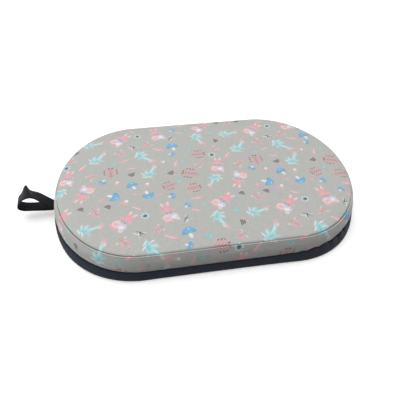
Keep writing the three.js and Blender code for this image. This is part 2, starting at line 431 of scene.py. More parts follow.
def draw_branch(paint):
    """Loose pink leaves in pairs along a thin stalk."""
    folded = paint.fold()
    paint.dab("coral", (0, -1.2), (0.4, 5.6))
    paint.dab("pink", (2.4, -1.6), (2.3, 0.9), 34, folded)
    paint.dab("rose", (2.9, 1.8), (2.5, 1.0), 44, folded)
    paint.dab("pink", (0, 5.2), (1.0, 1.8))
    paint.dab("blush", (4.6, -4.4), (1.3, 1.1), 0, folded)


def draw_pod(paint):
    paint.dabs(
        paint.pen,
        ("white", (0, 5.0), (0.5, 1.5)),
        ("pink", (0, -0.4), (1.8, 5.2)),
        ("rose", (0.6, -1.0), (0.8, 3.6)),
        ("blush", (-0.6, 0.2), (0.6, 3.4)),
    )


def draw_trio(paint):
    """Three berries with little stalks."""
    folded = paint.fold()
    paint.dab("blush", (1.2, 0.4), (0.35, 1.8), -30, folded)
    paint.dab("white", (0, 2.9), (1.9, 1.7))
    paint.dab("pink", (2.9, -1.9), (1.9, 1.6), 20, folded)
    paint.dab("coral", (2.9, -2.2), (0.8, 0.6), 20, folded)


def draw_twig(paint):
    """Crossed stalks, light and dark."""
    paint.dabs(
        paint.pen,
        ("white", (1.8, 0.8), (0.5, 4.8), -28),
        ("white", (-3.0, 1.6), (0.5, 3.0), 44),
        ("ink", (-1.0, -0.4), (0.6, 4.4), 24),
        ("ink", (0.6, 1.4), (0.45, 2.6), -50),
        ("white", (3.4, -2.4), (0.5, 2.2), 12),
        ("teal", (-3.4, -2.8), (0.8, 1.4), -40),
    )


def draw_pot(paint):
    """A small dark flower pot with bands, over a pink saucer."""
    x, y, _ = paint.split(paint.pen)
    width = paint.math("MULTIPLY_ADD", y, 0.5, 2.9)
    room = paint.math("SUBTRACT", width, paint.math("ABSOLUTE", x))
    sides = paint.threshold(room, -EDGE / 2, EDGE / 2)
    ends = paint.threshold(paint.math("ABSOLUTE", y), 2.7 + EDGE / 2, 2.7 - EDGE / 2)
    band = paint.threshold(paint.math("SINE", paint.times(y, 3.6)), -0.5, 0.1)
    body = paint.times(sides, ends)
    paint.dab("pink", (0.8, -4.1), (1.6, 0.9), 20)
    paint.ink(body, "stone")
    paint.ink(paint.times(body, band), "brown")


def draw_daisy(paint):
    """A slate blue disc in a frill of white petals."""
    spoke = paint.spokes(8)
    paint.dab("white", (3.2, 0), (1.5, 0.8), 0, spoke)
    paint.dab("teal", (0, 0), (2.9, 3.1))
    paint.dab("slate", (0, 0), (2.2, 2.4))
    paint.dab("ink", (0.3, -0.3), (0.8, 0.9))


def draw_heart(paint):
    paint.dab("teal", (1.2, 0.2), (1.6, 2.9), -40, paint.fold())
    paint.dab("aqua", (-1.2, 0.9), (0.9, 1.1))


def draw_bud(paint):
    paint.dab("pink", (0, -0.4), (2.7, 1.5), 20)
    paint.dab("rose", (1.5, 1.1), (1.2, 1.5), -30)


# how it is drawn, how far it reaches from its middle in mm, its sizes in one repeat
MOTIFS = [
    (draw_posy, 13.2, [1.05, 1.05, 1.0, 1.0, 0.95]),
    (draw_plume, 13.2, [1.1, 1.05, 1.0, 1.0, 0.95, 0.95]),
    (draw_sprig, 9.2, [1.1, 1.05, 1.0, 0.95, 0.9]),
    (draw_mushroom, 7.0, [1.15, 1.1, 1.05, 1.0, 0.72, 0.7, 0.66, 0.64]),
    (draw_branch, 7.0, [1.1, 1.05, 1.0, 0.95, 0.9, 0.85]),
    (draw_pod, 5.6, [1.15, 1.1, 1.05, 1.0, 0.95, 0.9, 0.85, 0.8]),
    (draw_trio, 5.8, [1.05, 1.0, 0.95, 0.9]),
    (draw_twig, 5.8, [1.05, 0.95]),
    (draw_pot, 4.8, [1.1, 1.1, 1.05, 1.0, 0.95]),
    (draw_daisy, 4.8, [1.05, 0.95]),
    (draw_heart, 4.0, [1.15, 1.1, 1.05, 1.0, 0.9, 0.8]),
    (draw_bud, 3.6, [1.1, 1.0, 0.9]),
]


def scatter_motifs(seed):
    """The motifs of one repeat as rows of kind, size, reach, x, y and turn, the largest kinds first, each put
    at the roomiest of some random places."""
    rng = random.Random(seed)
    placed = []
    for kind, (_, reach, sizes) in enumerate(MOTIFS):
        for size in (PRINT_SCALE * share for share in sizes):
            best = None
            for _ in range(400):
                x, y = rng.uniform(0, REPEAT[0]), rng.uniform(0, REPEAT[1])
                room = min((clearance(x, y, other) for other in placed), default=1e3) - reach * size
                if best is None or min(room, 2.5) > min(best[0], 2.5):
                    best = (room, x, y)
            placed.append((kind, size, reach * size, *best[1:], rng.uniform(0, math.tau)))
            rng.random()  # a draw passed over: it keeps the layout of this print
    return np.array(placed)


def clearance(x, y, other):
    """The distance from a point to another motif's rim, round the edges of the repeat."""
    apart = [abs((a - b + side / 2) % side - side / 2) for a, b, side in zip((x, y), other[3:5], REPEAT)]
    return math.hypot(*apart) - other[2]


SCATTER = scatter_motifs(11)


def store_vector(mesh, name, domain, values):
    layer = mesh.attributes.new(name, "FLOAT_VECTOR", domain)
    if values.shape[1] == 2:
        values = np.column_stack([values, np.zeros(len(values))])
    layer.data.foreach_set("vector", values.astype(np.float32).ravel())


def store_print(mesh, points):
    """Stores where each corner of a face is on the page of motifs. points holds each vertex's place in the
    cloth."""
    corners = np.zeros(len(mesh.loops), int)
    mesh.loops.foreach_get("vertex_index", corners)
    counts = np.zeros(len(mesh.polygons), int)
    mesh.polygons.foreach_get("loop_total", counts)
    faces = np.arange(len(counts))
    owner = np.repeat(faces, counts)
    middle = np.zeros((len(counts), 2))
    np.add.at(middle, owner, points[corners])
    middle /= counts[:, None]
    repeat = np.array(REPEAT)
    wrapped = (middle[:, None, :] - SCATTER[None, :, 3:5] + repeat / 2) % repeat - repeat / 2
    share = np.linalg.norm(wrapped, axis=2) / SCATTER[None, :, 2]
    nearest = share.argmin(1)
    x, y = ((wrapped[faces, nearest] - middle)[owner] + points[corners]).T
    kind, size, _, _, _, turn = SCATTER[nearest[owner]].T
    c, s = np.cos(turn), np.sin(turn)
    page = np.column_stack([(x * c + y * s) / size + PAGE * kind, (y * c - x * s) / size])
    page[(share[faces, nearest] > 1.3)[owner]] = (BLANK, 0)
    store_vector(mesh, "page", "CORNER", page)


def print_material():
    paint = PrintPaint("print_cloth", 0.86)
    paint.page = paint.attribute("page")
    place = paint.attribute("cloth")
    fade = paint.noise(place, 0.05, 2)
    cloud = paint.noise(place, 0.22, 3)
    ground = paint.mix(fade, linear(180, 182, 177), linear(189, 190, 186))
    ground = paint.mix(paint.threshold(cloud, 0.4, 0.75), ground, linear(194, 186, 186))
    paint.colour = paint.mix(paint.threshold(cloud, 0.55, 0.3), ground, linear(176, 186, 180))
    paint.cover = paint.math("MULTIPLY_ADD", paint.noise(place, 0.8, 2), 0.5, 0.62, clamp=True)
    for kind, (draw, _, _) in enumerate(MOTIFS):
        paint.start(kind)
        draw(paint)
    weave = add_weave(paint, place, 0.62)
    # painted shade: the print is drawn a little darker in the gaps between the threads of the weave
    thin = paint.times(weave, 0.1)
    paint.link("Base Color", paint.mix(thin, paint.colour, linear(120, 118, 114)))
    paint.emboss(paint.times(weave, -1), 0.09, 0.6)
    paint.emboss(paint.noise(place, 0.9, 3), 0.14, 0.4)
    paint.emboss(cloud, 0.9, 0.45)
    paint.set(Sheen_Weight=0.12, Sheen_Roughness=0.5, Specular_IOR_Level=0.25)
    return paint.material


def add_weave(paint, place, pitch):
    """The gaps of a plain weave: near 0 on the crown of a thread and 1 in a hole."""
    x, y, _ = paint.split(place)
    return paint.half(paint.times(paint.wave(x, pitch), paint.wave(y, pitch)))


def base_material():
    """Dark, slightly mottled plain cloth, drawn near black in the gaps of its weave as painted shade."""
    paint = Paint("base_cloth", 0.85)
    place = paint.attribute("cloth")
    weave = add_weave(paint, place, 0.8)
    worn = paint.mix(paint.noise(place, 0.12, 4), linear(38, 43, 54), linear(55, 61, 75))
    # painted shade: a share of near black in the gaps between the threads
    paint.link("Base Color", paint.mix(paint.times(weave, 0.35), worn, linear(8, 8, 10)))
    paint.emboss(paint.times(weave, -1), 0.14, 0.7)
    paint.emboss(paint.noise(place, 0.8, 3), 0.2, 0.35)
    paint.set(Sheen_Weight=0.12, Sheen_Roughness=0.45, Specular_IOR_Level=0.18)
    return paint.material


# ---- meshes ----

BASE_HIGH = box_mm("base_panel")[1]
HALF_LENGTH, HALF_WIDTH = BASE_HIGH.x, BASE_HIGH.y
CORNER = (124.0, 144.0)  # half-axes of the rounded corners
RIM_POINTS = 480


def corner_arc():
    """The outline's front right quarter, from the middle of the right end to the middle of the front."""
    turn = np.linspace(0, math.pi / 2, 200)
    x = HALF_LENGTH - CORNER[0] + CORNER[0] * np.cos(turn)
    y = -(HALF_WIDTH - CORNER[1] + CORNER[1] * np.sin(turn))
    x, y = np.append(x, 0), np.append(y, -HALF_WIDTH)
    return np.column_stack([np.insert(x, 0, HALF_LENGTH), np.insert(y, 0, 0)])


def rim():
    """Evenly spaced points round the pad's widest line, clockwise from the middle of the back, with their
    outward directions and their distance along it."""
    quarter = corner_arc()
    right = np.vstack([(quarter * (1, -1))[::-1], quarter])
    path = np.vstack([right, (right * (-1, 1))[::-1]])
    step = np.linalg.norm(np.diff(path, axis=0), axis=1)
    path = path[np.insert(step > 1e-6, 0, True)]
    along = np.insert(np.cumsum(np.linalg.norm(np.diff(path, axis=0), axis=1)), 0, 0)
    even = np.linspace(0, along[-1], RIM_POINTS, endpoint=False)
    points = np.column_stack([np.interp(even, along, path[:, k]) for k in (0, 1)])
    ahead = np.roll(points, -1, 0) - np.roll(points, 1, 0)
    out = np.column_stack([-ahead[:, 1], ahead[:, 0]])
    out /= np.linalg.norm(out, axis=1)[:, None]
    for _ in range(6):
        out = (np.roll(out, 1, 0) + 2 * out + np.roll(out, -1, 0)) / 4
    out /= np.linalg.norm(out, axis=1)[:, None]
    return points, out, even, along[-1]


RIM, OUT, ALONG, ROUND = rim()


def ring(end_inset, side_inset, height):
    """One line of points round the pad, moved in by end_inset at the ends and side_inset at the sides."""
    inset = end_inset * OUT[:, 0] ** 2 + side_inset * OUT[:, 1] ** 2
    flat = RIM - inset[:, None] * OUT
    return np.column_stack([flat, np.broadcast_to(height, len(flat))])


def face_outwards(mesh):
    """Turns the faces all one way, and away from the middle."""
    shape = bmesh.new()
    shape.from_mesh(mesh)
    bmesh.ops.recalc_face_normals(shape, faces=shape.faces)
    middle = sum((v.co for v in shape.verts), Vector()) / len(shape.verts)
    if sum(f.normal.dot(f.calc_center_median() - middle) * f.calc_area() for f in shape.faces) < 0:
        bmesh.ops.reverse_faces(shape, faces=shape.faces)
    shape.to_mesh(mesh)
    shape.free()


def show_mesh(name, mesh, material):
    mesh.materials.append(material)
    mesh.polygons.foreach_set("use_smooth", [True] * len(mesh.polygons))
    return add_object(name, mesh)


def make_piece(name, verts, faces, material):
    mesh = bpy.data.meshes.new(name)
    points = [tuple(v) for v in np.asarray(verts) * MM]
    mesh.from_pydata(points, [], [tuple(int(i) for i in f) for f in faces])
    face_outwards(mesh)
    return show_mesh(name, mesh, material)


def loft_faces(rows, count):
    """Quads between neighbouring closed rows of count points."""
    quads = []
    for low in range(0, (rows - 1) * count, count):
        high = low + count
        for i in range(count):
            following = (i + 1) % count
            quads.append((low + i, low + following, high + following, high + i))
    return quads


def edge_distance(points, boundary, margin):
    """How far the points lie in beyond a margin along the boundary, which is given at each of its points."""
    gap = np.full(len(points), 1e9)
    for point, skipped in zip(boundary, margin):
        gap = np.minimum(gap, np.hypot(*(points - point).T) - skipped)
    return gap


def fill_ring(rings, which, spacing, first):
    """Triangles over the inside of one of the rings: the new inner points, numbered from first, and the
    faces."""
    boundary = rings[which][:, :2]
    low, high = boundary.min(0), boundary.max(0)
    rows = np.arange(low[1] + spacing / 2, high[1], spacing * 0.866)
    starts = [low[0] + (k % 2) * spacing / 2 for k in range(len(rows))]
    grid = np.array([(x, y) for start, y in zip(starts, rows) for x in np.arange(start, high[0], spacing)])
    inside = np.zeros(len(grid), bool)
    for (ax, ay), (bx, by) in zip(boundary, np.roll(boundary, -1, 0)):
        if ay != by:
            crosses = (ay > grid[:, 1]) != (by > grid[:, 1])
            inside ^= crosses & (grid[:, 0] < (bx - ax) * (grid[:, 1] - ay) / (by - ay) + ax)
    clear = edge_distance(grid, boundary, np.zeros(len(boundary))) > 0.6 * spacing
    grid = grid[inside & clear]
    count = len(boundary)
    points = [Vector(p) for p in np.vstack([boundary, grid])]
    edges = [(i, (i + 1) % count) for i in range(count)]
    _, _, faces, *_ = delaunay_2d_cdt(points, edges, [], 1, 1e-6)
    number = [*range(which * count, (which + 1) * count), *range(first, first + len(grid))]
    return grid, [tuple(number[i] for i in f) for f in faces]


# ---- the cover ----

SEAM_HEIGHT = box_mm("side_band")[1].z + 0.3
HEM_HEIGHT = BASE_HIGH.z
PAD_HEIGHT = box_mm("top_panel")[1].z
ZIP_WINDOW = box_mm("rear_band")[1].x
CLOTH_THICKNESS = 1.1
TOP_INSET = (8.7, 3.5)  # how far the top seam lies in from the widest line, at the ends and the sides
SHOULDER = 7.0
SHOULDER_RISE = 2.8
CROWN_REACH = 45  # over what distance the crown levels out
TOP_SPACING = 3.2
BULGE = 1.3
TUCK = 2.4  # how far the side band turns in above the hem
TUCK_START = 0.68  # where it begins to, as a share of the way down
BAND_FOOT = 1.2  # how far the band lies in at the hem, before it turns in
REAR_EDGE = 25.4  # the folded lower edge of the rear band, over the zip


def ease(share):
    share = np.clip(share, 0, 1)
    return share * share * (3 - 2 * share)


def bulge(place, centre, reach):
    return np.exp(-(((place - centre) / reach) ** 2))


def crown(inward):
    """The top panel's height above its seam, at a distance in from the seam."""
    shoulder = np.clip(inward / SHOULDER, 0, 1)
    rise = SHOULDER_RISE * np.sqrt(1 - (1 - shoulder) ** 2)
    beyond = PAD_HEIGHT - SEAM_HEIGHT - SHOULDER_RISE
    return rise + beyond * (1 - np.exp(-np.clip(inward - SHOULDER / 2, 0, None) / CROWN_REACH))


def wall_inset(drop):
    """How far the side band lies in, at the ends and at the sides, at a share of the way down to the hem."""
    tuck = TUCK * max(0, (drop - TUCK_START) / (1 - TUCK_START)) ** 2
    shape = BULGE * math.sin(math.pi * drop) ** 0.8 - tuck
    return tuple(top * (1 - drop) + BAND_FOOT * drop - shape for top in TOP_INSET)


def wall_row(height):
    return (*wall_inset((SEAM_HEIGHT - height) / (SEAM_HEIGHT - HEM_HEIGHT)), height)


def lip_rows():
    """The rolled lip at the top of the side band, from inside the seam over and down."""
    profile = [
        (3.6, -3.0), (2.3, -2.6), (1.7, -1.5), (1.35, -0.4), (0.9, 0.1),
        (0.3, 0.15), (-0.2, -0.1), (-0.5, -0.6), (-0.45, -1.3), (-0.1, -2.0),
    ]
    return [(TOP_INSET[0] + i, TOP_INSET[1] + i, SEAM_HEIGHT + dz) for i, dz in profile]


PLACE = ALONG / ROUND  # of the way round, clockwise from the middle of the back
GATHER_PLACE = 0.37
GATHER_REACH = 0.04
GATHER_RISE = 0.8
GATHER_PULL = 1.5
SCALLOP = 16.0
SCALLOP_RISE = 6.0
FRONT_FLARE = 0.8  # how far the base stands out at its foot, along the front
FLARES = [(0.37, 0.05, 2.8), (0.66, 0.055, 3.2)]  # where it stands out further: place, reach and how far


# From the lip of the side band in to where the top panel rises: open along the front, closed elsewhere.
GROOVE = 1.4 + 1.1 * ease((PLACE - 0.29) / 0.08) * ease((0.75 - PLACE) / 0.08)
SEAM_LINE = ring(*TOP_INSET, 0)[:, :2]


def gathered_ring(end_inset, side_inset, height):
    """A line of points that elastic draws up in small scallops near the hem, round the front right corner."""
    weight = bulge(PLACE, GATHER_PLACE, GATHER_REACH) * bulge(height, HEM_HEIGHT, 7)
    scallop = np.abs(np.sin(ALONG * math.pi / SCALLOP + 0.8 * np.sin(ALONG / 31)))
    pull = GATHER_PULL * weight
    return ring(end_inset + pull, side_inset + pull, height + weight * (GATHER_RISE + SCALLOP_RISE * scallop))


def foot_inset(height):
    """How much further in the base lies at that height, round the rim."""
    flare = FRONT_FLARE * ease((0.72 - PLACE) / 0.1) * ease((PLACE - 0.25) / 0.1)
    for centre, reach, amount in FLARES:
        flare += amount * bulge(PLACE, centre, reach)
    return -flare * max(0, 1 - height / HEM_HEIGHT) ** 0.8


def band_cloth(rows):
    """Each point's place in the print, which runs on over the top seam and down the band."""
    return np.vstack([SEAM_LINE + OUT * (SEAM_HEIGHT - height) for _, _, height in rows])


def printed(piece, cloth):
    store_vector(piece.data, "cloth", "POINT", cloth)
    store_print(piece.data, cloth)
    return piece


def make_top_panel(material):
    insets = (0.4, 0.05, 0, 0.1, 0.4, 1.0, 1.9, 3.1, 4.7, 6.7, 9.6)
    sunk = [2.6, 1.4] + [0] * (len(insets) - 2)
    rings = [ring(*(t + GROOVE + i for t in TOP_INSET), 0) for i in insets]
    faces = loft_faces(len(rings), RIM_POINTS)
    inner, filled = fill_ring(rings, len(rings) - 1, TOP_SPACING, len(rings) * RIM_POINTS)
    flat = np.vstack([np.vstack(rings)[:, :2], inner])
    inward = np.concatenate([np.repeat(insets, RIM_POINTS), edge_distance(inner, SEAM_LINE, GROOVE)])
    heights = SEAM_HEIGHT + crown(inward)
    heights[: len(rings) * RIM_POINTS] -= np.repeat(sunk, RIM_POINTS)
    return printed(make_piece("cover_top", np.column_stack([flat, heights]), faces + filled, material), flat)


def crease_ends(verts):
    """The upright seams where the side band and the rear band meet."""
    behind = verts[:, 1] > 0
    depth = 1.0 * np.exp(-(((np.abs(verts[:, 0]) - BAND_END) / 1.4) ** 2))
    verts[:, 1] -= np.where(behind, depth, 0)
    return verts


BAND_END = max(abs(x) for x, y in RIM if y > 0 and abs(x) < ZIP_WINDOW)


def behind_zip(verts, face):
    """Whether a face is in the back side's zipped stretch."""
    return verts[face[0]][1] > 0 and max(abs(verts[i][0]) for i in face) < BAND_END + 0.5


def make_band(name, rows, zipped, material):
    """A panel of the upright band through the rows: its zipped stretch, or all the rest of it."""
    verts = crease_ends(np.vstack([gathered_ring(*row) for row in rows]))
    faces = [f for f in loft_faces(len(rows), RIM_POINTS) if behind_zip(verts, f) == zipped]
    return printed(make_piece(name, verts, faces, material), band_cloth(rows))


def make_side_band(material):
    drops = [0.07, 0.12, 0.18, 0.25, 0.32, 0.39, 0.46, 0.53, 0.6]
    drops += [0.66, 0.72, 0.77, 0.82, 0.87, 0.91, 0.95, 0.98, 1.0]
    wall = [wall_row(SEAM_HEIGHT - (SEAM_HEIGHT - HEM_HEIGHT) * drop) for drop in drops]
    end, side, _ = wall[-1]
    wall += [(end + 0.6, side + 0.6, HEM_HEIGHT - 0.7), (end + 1.6, side + 1.6, HEM_HEIGHT - 0.9)]
    return make_band("cover_side", lip_rows() + wall, False, material)


def make_rear_band(material):
    """The band above the zip, its lower edge folded under."""
    wall = [wall_row(height) for height in np.linspace(SEAM_HEIGHT - 3, REAR_EDGE + 0.6, 10)]
    side = wall[-1][1]
    profile = [(0.4, 0), (1.0, 0.3), (1.2, 1.2), (1.2, 5)]
    fold = [(side + i, side + i, REAR_EDGE + rise) for i, rise in profile]
    return make_band("cover_rear", lip_rows() + wall + fold, True, material)


def make_base(material):
    hem = [
        (4.6, 1.6), (3.4, 0.6), (2.6, 0.1), (1.8, 0), (1.1, 0.4), (0.7, 1.4), (0.35, 3.0), (0.1, 5.0), (0, 7),
    ]
    profile = [(i, HEM_HEIGHT - below) for i, below in hem]
    profile += [(0, 3.6), (0.3, 2.1), (1.0, 1.0), (2.4, 0.3), (5.0, 0.05), (10, 0)]
    rings = [gathered_ring(i + foot_inset(z), i + foot_inset(z), z) for i, z in profile]
    faces = loft_faces(len(rings), RIM_POINTS)
    inner, filled = fill_ring(rings, len(rings) - 1, 5.0, len(rings) * RIM_POINTS)
    verts = np.vstack(rings + [np.column_stack([inner, np.zeros(len(inner))])])
    piece = make_piece("cover_base", verts, faces + filled, material)
    steps = [math.hypot(i1 - i0, z1 - z0) for (i0, z0), (i1, z1) in zip(profile, profile[1:])]
    lengths = np.insert(np.cumsum(steps), 0, 0)
    cloth = [RIM + OUT * (lengths[-1] - length - 10) for length in lengths]
    store_vector(piece.data, "cloth", "POINT", np.vstack(cloth + [inner]))
    return piece


# ---- the cover filled out by cloth simulation ----

PUFF_LIMIT = 1.6  # how far the filling may push the cloth out
PUFF_SPACING = 6.5
SLACK = 0.006  # cloth cut this much larger than the foam
PRESSURE = 4.0
SIM_FRAMES = 20


def blank_cover():
    """A coarse closed skin of the whole cover: its points, its faces and which points the seams hold."""
    upper = [(*(t + GROOVE + i for t in TOP_INSET), SEAM_HEIGHT + crown(i)) for i in (16, 10, 5, 1.5)]
    wall = [wall_row(height) for height in np.linspace(SEAM_HEIGHT - 4, HEM_HEIGHT, 6)]
    rows = [*upper, (*TOP_INSET, SEAM_HEIGHT), *wall, (0, 0, 7), (3, 3, 1)]
    rings = [ring(*row)[::2] for row in rows]
    count = len(rings[0])
    total = len(rings) * count
    top, top_faces = fill_ring(rings, 0, PUFF_SPACING, total)
    lower, lower_faces = fill_ring(rings, len(rings) - 1, 2 * PUFF_SPACING, total + len(top))
    top = np.column_stack([top, SEAM_HEIGHT + crown(edge_distance(top, SEAM_LINE, GROOVE))])
    verts = np.vstack([*rings, top, np.column_stack([lower, np.ones(len(lower))])])
    seam, hem = len(upper), len(upper) + len(wall)
    held = np.zeros(len(verts), bool)
    held[seam * count : (seam + 1) * count] = True
    held[hem * count : total] = True
    held[total + len(top) :] = True
    return verts, loft_faces(len(rings), count) + top_faces + lower_faces, held


def simulate_cover():
    """Blows the blank up against its seams. Returns its points and its held points as trees, and how far each
    point moved."""
    verts, faces, held = blank_cover()
    blank = make_piece("blank_cover", verts, faces, bpy.data.materials.new("blank"))
    group = blank.vertex_groups.new(name="seams")
    group.add([int(i) for i in np.flatnonzero(held)], 1.0, "REPLACE")
    cloth = blank.modifiers.new("cloth", "CLOTH")
    settings = cloth.settings
    settings.vertex_group_mass = "seams"
    settings.use_pressure = True
    settings.uniform_pressure_force = PRESSURE
    settings.shrink_min = -SLACK
    settings.effector_weights.gravity = 0
    settings.bending_stiffness = 0.3
    settings.quality = 6
    cloth.collision_settings.use_collision = False
    cloth.collision_settings.use_self_collision = False
    cloth.point_cache.frame_start = 1
    cloth.point_cache.frame_end = SIM_FRAMES
    for number in range(1, SIM_FRAMES + 1):
        scene.frame_set(number)
    shape = blank.evaluated_get(bpy.context.evaluated_depsgraph_get()).to_mesh()
    moved = vertex_vectors(shape, "co") / MM - verts
    scene.frame_set(1)
    bpy.data.objects.remove(blank)
    return tree_of(verts), tree_of(verts[held]), moved


def vertex_vectors(mesh, kind):
    values = np.zeros(len(mesh.vertices) * 3)
    mesh.vertices.foreach_get(kind, values)
    return values.reshape(-1, 3)


def tree_of(points):
    tree = KDTree(len(points))
    for i, point in enumerate(points):
        tree.insert(point, i)
    tree.balance()
    return tree


def fill_out(piece, tree, seams, moved):
    """Moves a cloth panel along its normals as far as the simulated blank moved there, up to the limit."""
    mesh = piece.data
    points = vertex_vectors(mesh, "co") / MM
    normals = vertex_vectors(mesh, "normal")
    for i in range(len(points)):
        near = tree.find_n(points[i], 7)
        reach = near[-1][2]
        weights = np.array([(1 - distance / reach) ** 2 for _, _, distance in near])
        push = weights @ moved[[index for _, index, _ in near]] / weights.sum()
        from_seam = seams.find(points[i])[2]
        amount = PUFF_LIMIT * math.tanh(push @ normals[i] / PUFF_LIMIT) * ease((from_seam - 3) / 7)
        points[i] += amount * normals[i]
    mesh.vertices.foreach_set("co", (points * MM).ravel())
    mesh.update()


# ---- foam ----

FOAM_SPACING = 7.0


def make_foam(name, rows, material):
    """A sheet of foam: a closed solid through rows of (share of the lean, inset, height), lowest first."""
    rings = [ring(TOP_INSET[0] * lean + i, TOP_INSET[1] * lean + i, z) for lean, i, z in rows]
    verts = np.vstack(rings)
    faces = loft_faces(len(rings), RIM_POINTS)
    for end in (0, len(rings) - 1):
        inner, filled = fill_ring(rings, end, FOAM_SPACING, len(verts))
        faces += filled
        verts = np.vstack([verts, np.column_stack([inner, np.full(len(inner), rings[end][0][2])])])
    return make_piece(name, verts, faces, material)


def foam_material(name, dark, light, cell):
    paint = Paint(name, 0.95)
    inputs = {"Vector": paint.place(), "Scale": 1 / (cell * MM)}
    cells = paint.node("ShaderNodeTexVoronoi", inputs).outputs["Distance"]
    paint.tint(paint.threshold(cells, 0.1, 0.6), light, dark)
    paint.emboss(cells, 0.3, 0.8)
    return paint.material


# ---- webbing loop ----

LOOP_LOW, LOOP_HIGH = box_mm("hanging_loop")
WEBBING = 1.3
WEBBING_HALF = (LOOP_HIGH.y - LOOP_LOW.y) / 2
# The webbing's two edges seen from the front as (x, z), from the lower end round to the upper end.
LOOP_FRONT = [
    (-226.5, 13.4), (-240, 14.2), (-254, 15.8), (-267, 17.4), (-273.2, 22.2), (-270.4, 30.2), (-263.8, 36.6),
    (-255.5, 39.8), (-248, 38.4), (-241, 31.4), (-234.5, 22.4), (-226.5, 15.2),
]
LOOP_BACK = [
    (-226.5, 13.4), (-240, 13.4), (-254, 14.2), (-267, 16.2), (-274.2, 20.8), (-273.6, 27.6), (-267.5, 35.0),
    (-258.6, 48.2), (-254.6, 38.4), (-244, 32.4), (-235, 23.6), (-226.5, 15.2),
]


def smooth_line(points, count):
    """Evenly parted points on a curve through the given ones."""
    p = np.asarray(points, float)
    p = np.vstack([2 * p[0] - p[1], p, 2 * p[-1] - p[-2]])
    t = np.linspace(0, len(points) - 1, count)
    k = np.minimum(t.astype(int), len(points) - 2)
    u = (t - k)[:, None]
    a, b, c, d = p[k], p[k + 1], p[k + 2], p[k + 3]
    return 0.5 * (2 * b + (c - a) * u + (2 * a - 5 * b + 4 * c - d) * u**2 + (3 * b - a - 3 * c + d) * u**3)


def ribbon(name, left, right, thickness, material):
    """A flat band between two edge lines of 3-D points, with rounded selvedges, closed at both ends."""
    left, right = np.asarray(left), np.asarray(right)
    middle = (left + right) / 2
    along = np.gradient(middle, axis=0)
    wide = right - left
    normal = np.cross(along, wide)
    normal /= np.linalg.norm(normal, axis=1)[:, None]
    share = np.linspace(0, 1, 9)
    edge = np.sqrt(np.clip(1 - (2 * share - 1) ** 12, 0.16, 1)) * thickness / 2
    loop = [(u, e) for u, e in zip(share, edge)] + [(u, -e) for u, e in zip(share[::-1], edge[::-1])]
    rows = np.stack([left + u * wide + e * normal for u, e in loop], axis=1)
    steps, size = rows.shape[:2]
    faces = loft_faces(steps, size)
    faces.append(tuple(range(size)))
    faces.append(tuple(reversed(range((steps - 1) * size, steps * size))))
    piece = make_piece(name, rows.reshape(-1, 3), faces, material)
    length = np.insert(np.cumsum(np.linalg.norm(np.diff(middle, axis=0), axis=1)), 0, 0)
    width = np.linalg.norm(wide, axis=1).mean()
    place = [(length[k], u * width) for k in range(steps) for u, _ in loop]
    store_vector(piece.data, "cloth", "POINT", np.array(place))
    return piece


def make_loop(material):
    steps = 96
    front, back = (
        np.array([(x, y, z) for x, z in smooth_line(points, steps)])
        for points, y in ((LOOP_FRONT, -WEBBING_HALF), (LOOP_BACK, WEBBING_HALF))
    )
    return ribbon("webbing_loop", front, back, WEBBING, material)


def webbing_material():
    """Black webbing: a herringbone of slanting ribs."""
    paint = Paint("webbing", 0.62)
    x, y, _ = paint.split(paint.attribute("cloth"))
    lane = paint.math("PINGPONG", y, 2.5)
    slant = paint.math("ADD", x, paint.times(lane, 0.9))
    rib = paint.half(paint.wave(slant, 1.25))
    # painted shade: the webbing is drawn lighter on the crowns of its ribs and darker in the grooves between
    # them
    paint.tint(paint.times(rib, 0.6), (7, 9, 14), (21, 25, 34))
    paint.emboss(rib, 0.25, 0.9)
    paint.emboss(paint.noise(paint.attribute("cloth"), 1.1, 3), 0.12, 0.4)
    paint.set(Sheen_Weight=0.05, Sheen_Roughness=0.4, Specular_IOR_Level=0.3)
    return paint.material


# ---- zip ----

TEETH_PITCH = 1.3


def tube(points, radius):
    """A closed tube along a line of points: its points and faces."""
    sides = 6
    turns = np.arange(sides) * math.tau / sides
    points = np.asarray(points, float)
    along = np.gradient(points, axis=0)
    along /= np.linalg.norm(along, axis=1)[:, None]
    start = np.array((1.0, 0, 0)) if abs(along[0][0]) < 0.9 else np.array((0, 0, 1.0))
    side = np.cross(along[0], start)
    rows = []
    for p, a in zip(points, along):
        side = side - a * side.dot(a)
        side /= np.linalg.norm(side)
        other = np.cross(a, side)
        rows += [p + radius * (math.cos(t) * side + math.sin(t) * other) for t in turns]
    faces = loft_faces(len(points), sides)
    faces.append(tuple(reversed(range(sides))))
    faces.append(tuple(range((len(points) - 1) * sides, len(points) * sides)))
    return np.array(rows), faces


def repeat_shape(verts, faces, shifts):
    """Copies of one shape, moved by each shift, as one set of points and faces."""
    moved = np.vstack([verts + np.asarray(shift) for shift in shifts])
    copies = [tuple(i + k * len(verts) for i in f) for k in range(len(shifts)) for f in faces]
    return moved, copies


def make_teeth(name, node, half, material):
    """One row of coil: bars that hook over the middle line, half a pitch away from the other row's. half is
    -1 for the lower row and 1 for the upper."""
    low, high = box_mm(node)
    meeting = low.z if half > 0 else high.z
    front, back = high.y - 0.3, low.y + 0.25
    reach = high.z - low.z
    profile = [
        (back, reach - 0.2), (front - 0.5, reach - 0.1), (front, reach - 0.8), (front, 0.6),
        (front, -0.3), (front - 0.5, -0.65), (back + 0.3, -0.35), (back, 0.3),
    ]
    verts, faces = tube([(0, y, meeting + half * rise) for y, rise in profile], 0.27)
    shift = 0 if half > 0 else TEETH_PITCH / 2
    places = np.arange(low.x + 0.8 + shift, high.x - 0.6, TEETH_PITCH)
    verts, faces = repeat_shape(verts, faces, [(x, 0, 0) for x in places])
    return make_piece(name, verts, faces, material)


STITCH_PITCH = 3.0
STITCH_LENGTH = 2.1


